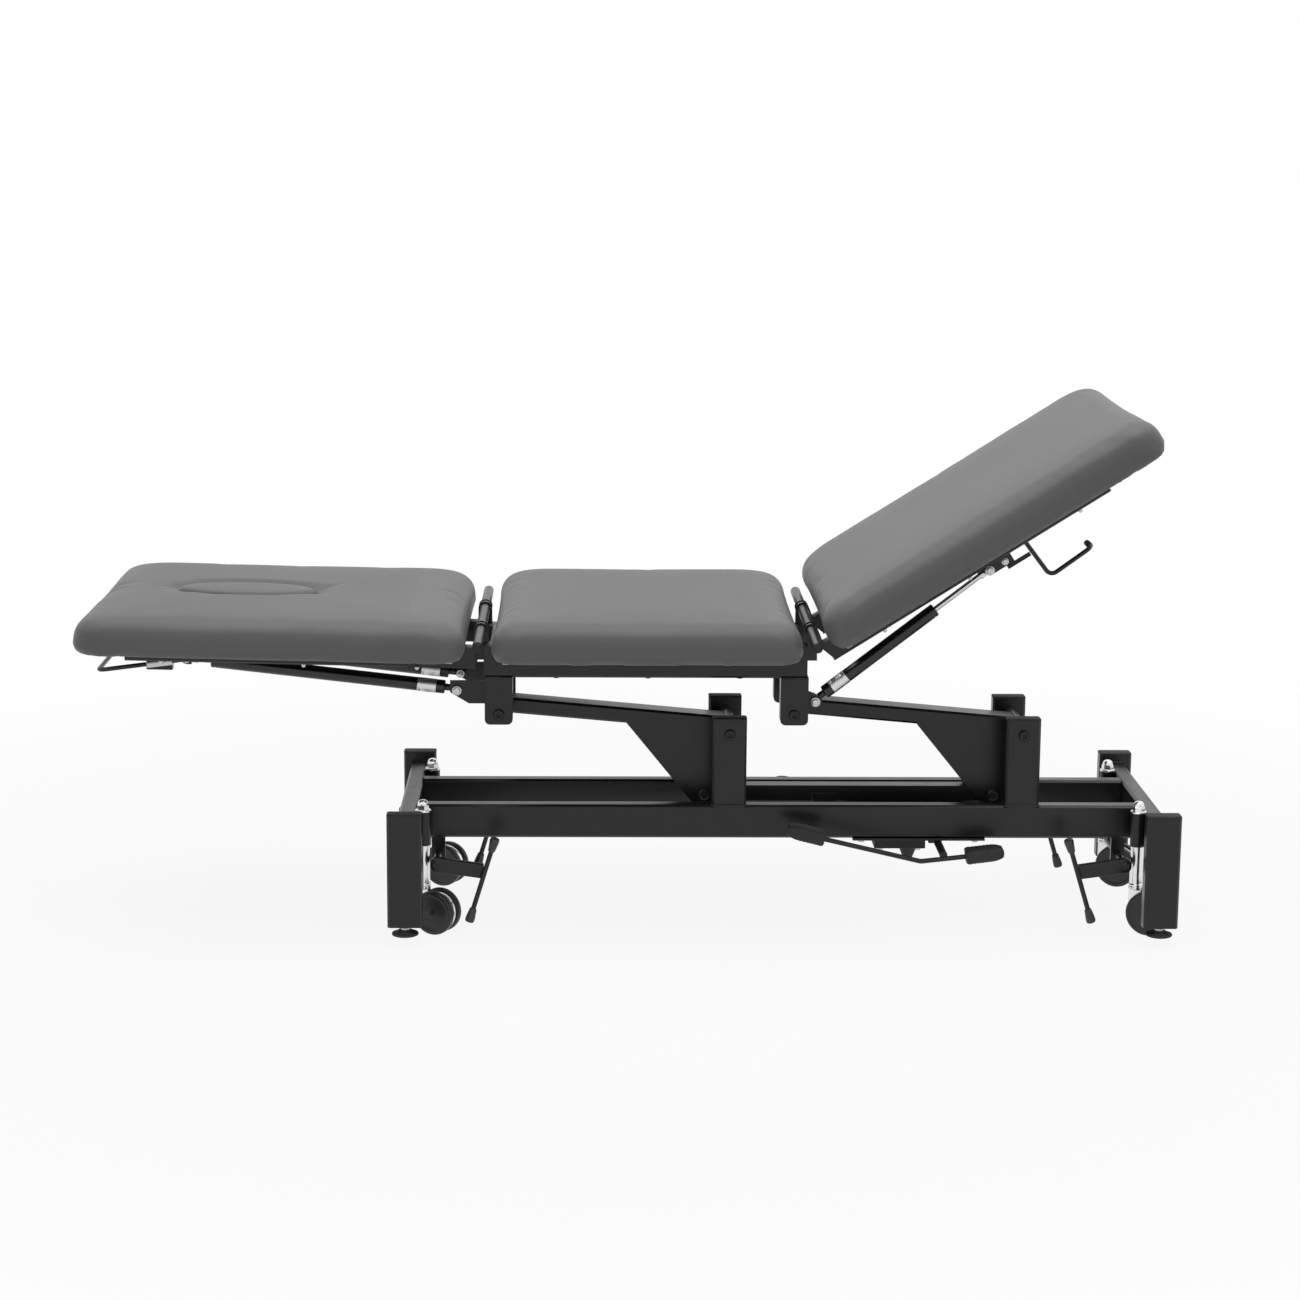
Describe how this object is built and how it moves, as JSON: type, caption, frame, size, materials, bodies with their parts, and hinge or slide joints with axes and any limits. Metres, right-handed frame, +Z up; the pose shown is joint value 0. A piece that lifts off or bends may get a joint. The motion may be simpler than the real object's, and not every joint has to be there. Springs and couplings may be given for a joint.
{
  "type": "three-section treatment table",
  "caption": "Height-adjustable three-section padded treatment table on a black tube base with foot pumps, retracting casters, a lift-out face plug and gas struts.",
  "frame": {"origin": "centre of the bounding box in plan, on the floor under the casters", "axes": "+X from the face section to the raised back section, +Y to the far side, +Z up"},
  "size_m": [1.9122, 0.64, 0.9228],
  "materials": {
    "powder_coat": "satin",
    "chrome": "polished",
    "upholstery": "satin",
    "rubber": "matte",
    "wheel_tread": "matte",
    "cast_pump": "matte",
    "strut_barrel": "gloss",
    "bright_rod": "polished",
    "plug_cover": "satin"
  },
  "bodies": {
    "base": {"base_rail_near": "powder_coat", "base_rail_far": "powder_coat", "end_frame_face": "powder_coat", "end_frame_back": "powder_coat", "pump_unit": "cast_pump", "lift_pivot_shaft_face": "bright_rod", "lift_pivot_shaft_back": "bright_rod", "caster_cap_face_near": "chrome", "caster_cap_face_far": "chrome", "caster_cap_back_near": "chrome", "caster_cap_back_far": "chrome"},
    "seat": {"seat_frame": "powder_coat", "seat_cushion": "upholstery", "hinge_tube_face": "powder_coat", "hinge_tube_back": "powder_coat", "seat_pivot_shaft_face": "bright_rod", "seat_pivot_shaft_back": "bright_rod"},
    "face_section": {"face_frame": "powder_coat", "face_cushion": "upholstery"},
    "face_plug": {"face_plug": "plug_cover"},
    "back_section": {"back_frame": "powder_coat", "back_cushion": "upholstery"},
    "lift_arm_face": {"lift_arm_face": "powder_coat"},
    "lift_arm_back": {"lift_arm_back": "powder_coat"},
    "tie_bar": {"tie_bar": "powder_coat"},
    "ram_barrel": {"ram_barrel": "cast_pump"},
    "ram_rod": {"ram_rod": "bright_rod"},
    "pump_pedal": {"pump_pedal": "powder_coat", "pedal_pad_long_near": "rubber", "pedal_pad_long_far": "rubber", "pedal_pad_short_near": "rubber", "pedal_pad_short_far": "rubber"},
    "caster_lever_face": {"caster_lever_face": "powder_coat"},
    "caster_lever_back": {"caster_lever_back": "powder_coat"},
    "face_release_loop": {"face_release_loop": "powder_coat"},
    "back_release_handle": {"back_release_handle": "powder_coat"},
    "back_release_link": {"back_release_link": "powder_coat"},
    "strut_barrel_face_near": {"strut_barrel_face_near": "strut_barrel"},
    "strut_rod_face_near": {"strut_rod_face_near": "bright_rod"},
    "strut_barrel_face_far": {"strut_barrel_face_far": "strut_barrel"},
    "strut_rod_face_far": {"strut_rod_face_far": "bright_rod"},
    "strut_barrel_back": {"strut_barrel_back": "strut_barrel"},
    "strut_rod_back": {"strut_rod_back": "bright_rod"},
    "foot_face_near": {"levelling_foot_face_near": "rubber"},
    "stem_face_near": {"caster_stem_face_near": "chrome"},
    "swivel_face_near": {"caster_hood_face_near": "chrome"},
    "wheels_face_near": {"caster_wheels_face_near": "wheel_tread"},
    "foot_face_far": {"levelling_foot_face_far": "rubber"},
    "stem_face_far": {"caster_stem_face_far": "chrome"},
    "swivel_face_far": {"caster_hood_face_far": "chrome"},
    "wheels_face_far": {"caster_wheels_face_far": "wheel_tread"},
    "foot_back_near": {"levelling_foot_back_near": "rubber"},
    "stem_back_near": {"caster_stem_back_near": "chrome"},
    "swivel_back_near": {"caster_hood_back_near": "chrome"},
    "wheels_back_near": {"caster_wheels_back_near": "wheel_tread"},
    "foot_back_far": {"levelling_foot_back_far": "rubber"},
    "stem_back_far": {"caster_stem_back_far": "chrome"},
    "swivel_back_far": {"caster_hood_back_far": "chrome"},
    "wheels_back_far": {"caster_wheels_back_far": "wheel_tread"}
  },
  "joints": [
    {"name": "lift", "type": "hinge", "parent": "base", "child": "lift_arm_face", "pos_m": [0.1721, 0, 0.343], "axis": [0, 1, 0], "range_deg": [-9, 55]},
    {"name": "lift_back", "type": "hinge", "parent": "base", "child": "lift_arm_back", "pos_m": [0.6911, 0, 0.343], "axis": [0, 1, 0], "range_deg": [-9, 55]},
    {"name": "seat_level", "type": "hinge", "parent": "lift_arm_face", "child": "seat", "pos_m": [-0.23435, 0, 0.37856], "axis": [0, 1, 0], "range_deg": [-55, 9]},
    {"name": "tie_level", "type": "hinge", "parent": "lift_arm_face", "child": "tie_bar", "pos_m": [0.13079, 0, 0.21511], "axis": [0, 1, 0], "range_deg": [-55, 9]},
    {"name": "ram_swing", "type": "hinge", "parent": "base", "child": "ram_barrel", "pos_m": [0.6071, 0, 0.177], "axis": [0, 1, 0], "range_deg": [-2.5, 14]},
    {"name": "ram_extend", "type": "slide", "parent": "ram_barrel", "child": "ram_rod", "axis": [-1, 0, 0], "range_m": [-0.0175, 0.104]},
    {"name": "face_tilt", "type": "hinge", "parent": "seat", "child": "face_section", "pos_m": [-0.2644, 0, 0.532], "axis": [0, 1, 0], "range_deg": [-6.2, 33.8]},
    {"name": "back_tilt", "type": "hinge", "parent": "seat", "child": "back_section", "pos_m": [0.3106, 0, 0.532], "axis": [0, -1, 0], "range_deg": [-32.4, 37.6]},
    {"name": "face_plug_lift", "type": "slide", "parent": "face_section", "child": "face_plug", "axis": [0.0209, 0, 0.9998], "range_m": [0, 0.1]},
    {"name": "strut_swing_face_near", "type": "hinge", "parent": "seat", "child": "strut_barrel_face_near", "pos_m": [-0.3084, -0.07, 0.4175], "axis": [0, 1, 0], "range_deg": [-6.3, 34]},
    {"name": "strut_extend_face_near", "type": "slide", "parent": "strut_barrel_face_near", "child": "strut_rod_face_near", "axis": [-0.9937, 0, 0.1119], "range_m": [-0.0131, 0.071]},
    {"name": "strut_swing_face_far", "type": "hinge", "parent": "seat", "child": "strut_barrel_face_far", "pos_m": [-0.3084, 0.07, 0.4175], "axis": [0, 1, 0], "range_deg": [-6.3, 34]},
    {"name": "strut_extend_face_far", "type": "slide", "parent": "strut_barrel_face_far", "child": "strut_rod_face_far", "axis": [-0.9937, 0, 0.1119], "range_m": [-0.0131, 0.071]},
    {"name": "strut_swing_back", "type": "hinge", "parent": "seat", "child": "strut_barrel_back", "pos_m": [0.3231, -0.07, 0.3986], "axis": [0, -1, 0], "range_deg": [-26.2, 30.4]},
    {"name": "strut_extend_back", "type": "slide", "parent": "strut_barrel_back", "child": "strut_rod_back", "axis": [0.7888, 0, 0.6146], "range_m": [-0.0614, 0.0712]},
    {"name": "face_release_pull", "type": "slide", "parent": "face_section", "child": "face_release_loop", "axis": [-0.9917, 0, -0.1288], "range_m": [0, 0.012], "stiffness_N_per_m": 400},
    {"name": "back_release_pull", "type": "hinge", "parent": "back_section", "child": "back_release_handle", "pos_m": [0.67879, -0.07, 0.6946], "axis": [0, -1, 0], "range_deg": [0, 12], "stiffness_Nm_per_rad": 4, "springref_deg": -11.46},
    {"name": "back_release_link_slide", "type": "slide", "parent": "back_section", "child": "back_release_link", "axis": [0.8443, 0, 0.5358], "range_m": [0, 0.0079]},
    {"name": "pump_stroke", "type": "hinge", "parent": "base", "child": "pump_pedal", "pos_m": [0.5461, 0, 0.143], "axis": [0, -1, 0], "range_deg": [-8, 14], "stiffness_Nm_per_rad": 120},
    {"name": "caster_lever_face_swing", "type": "hinge", "parent": "base", "child": "caster_lever_face", "pos_m": [-0.3419, 0, 0.125], "axis": [0, -1, 0], "range_deg": [0, 30]},
    {"name": "caster_lever_back_swing", "type": "hinge", "parent": "base", "child": "caster_lever_back", "pos_m": [0.8661, 0, 0.125], "axis": [0, 1, 0], "range_deg": [0, 30]},
    {"name": "stem_lift_face_near", "type": "slide", "parent": "base", "child": "stem_face_near", "axis": [0, 0, 1], "range_m": [0, 0.0285]},
    {"name": "swivel_face_near", "type": "hinge", "parent": "stem_face_near", "child": "swivel_face_near", "pos_m": [-0.3654, -0.158, 0.081], "axis": [0, 0, 1], "continuous": true},
    {"name": "wheel_spin_face_near", "type": "hinge", "parent": "swivel_face_near", "child": "wheels_face_near", "pos_m": [-0.34135, -0.17026, 0.039], "axis": [0.454, 0.891, 0], "continuous": true},
    {"name": "foot_level_face_near", "type": "slide", "parent": "base", "child": "foot_face_near", "axis": [0, 0, 1], "range_m": [-0.016, 0]},
    {"name": "stem_lift_face_far", "type": "slide", "parent": "base", "child": "stem_face_far", "axis": [0, 0, 1], "range_m": [0, 0.0285]},
    {"name": "swivel_face_far", "type": "hinge", "parent": "stem_face_far", "child": "swivel_face_far", "pos_m": [-0.3654, 0.158, 0.081], "axis": [0, 0, 1], "continuous": true},
    {"name": "wheel_spin_face_far", "type": "hinge", "parent": "swivel_face_far", "child": "wheels_face_far", "pos_m": [-0.34135, 0.14574, 0.039], "axis": [0.454, 0.891, 0], "continuous": true},
    {"name": "foot_level_face_far", "type": "slide", "parent": "base", "child": "foot_face_far", "axis": [0, 0, 1], "range_m": [-0.016, 0]},
    {"name": "stem_lift_back_near", "type": "slide", "parent": "base", "child": "stem_back_near", "axis": [0, 0, 1], "range_m": [0, 0.0285]},
    {"name": "swivel_back_near", "type": "hinge", "parent": "stem_back_near", "child": "swivel_back_near", "pos_m": [0.8896, -0.158, 0.081], "axis": [0, 0, 1], "continuous": true},
    {"name": "wheel_spin_back_near", "type": "hinge", "parent": "swivel_back_near", "child": "wheels_back_near", "pos_m": [0.91365, -0.17026, 0.039], "axis": [0.454, 0.891, 0], "continuous": true},
    {"name": "foot_level_back_near", "type": "slide", "parent": "base", "child": "foot_back_near", "axis": [0, 0, 1], "range_m": [-0.016, 0]},
    {"name": "stem_lift_back_far", "type": "slide", "parent": "base", "child": "stem_back_far", "axis": [0, 0, 1], "range_m": [0, 0.0285]},
    {"name": "swivel_back_far", "type": "hinge", "parent": "stem_back_far", "child": "swivel_back_far", "pos_m": [0.8896, 0.158, 0.081], "axis": [0, 0, 1], "continuous": true},
    {"name": "wheel_spin_back_far", "type": "hinge", "parent": "swivel_back_far", "child": "wheels_back_far", "pos_m": [0.91365, 0.14574, 0.039], "axis": [0.454, 0.891, 0], "continuous": true},
    {"name": "foot_level_back_far", "type": "slide", "parent": "base", "child": "foot_back_far", "axis": [0, 0, 1], "range_m": [-0.016, 0]}
  ],
  "couplings": [
    {"joint": "lift_back", "follows": "lift", "ratio": 1},
    {"joint": "seat_level", "follows": "lift", "ratio": -1},
    {"joint": "tie_level", "follows": "lift", "ratio": -1},
    {"joint": "ram_swing", "follows": "lift", "ratio": 0.2483},
    {"joint": "ram_extend", "follows": "lift", "m_per_rad": 0.1075},
    {"joint": "strut_swing_face_near", "follows": "face_tilt", "ratio": 1.0031},
    {"joint": "strut_extend_face_near", "follows": "face_tilt", "m_per_rad": 0.12018},
    {"joint": "strut_swing_face_far", "follows": "face_tilt", "ratio": 1.0031},
    {"joint": "strut_extend_face_far", "follows": "face_tilt", "m_per_rad": 0.12018},
    {"joint": "strut_swing_back", "follows": "back_tilt", "ratio": 0.8054},
    {"joint": "strut_extend_back", "follows": "back_tilt", "m_per_rad": 0.10835},
    {"joint": "back_release_link_slide", "follows": "back_release_pull", "m_per_rad": 0.0375},
    {"joint": "stem_lift_face_near", "follows": "caster_lever_face_swing", "m_per_rad": 0.0535},
    {"joint": "stem_lift_face_far", "follows": "caster_lever_face_swing", "m_per_rad": 0.0535},
    {"joint": "stem_lift_back_near", "follows": "caster_lever_back_swing", "m_per_rad": 0.0535},
    {"joint": "stem_lift_back_far", "follows": "caster_lever_back_swing", "m_per_rad": 0.0535}
  ]
}
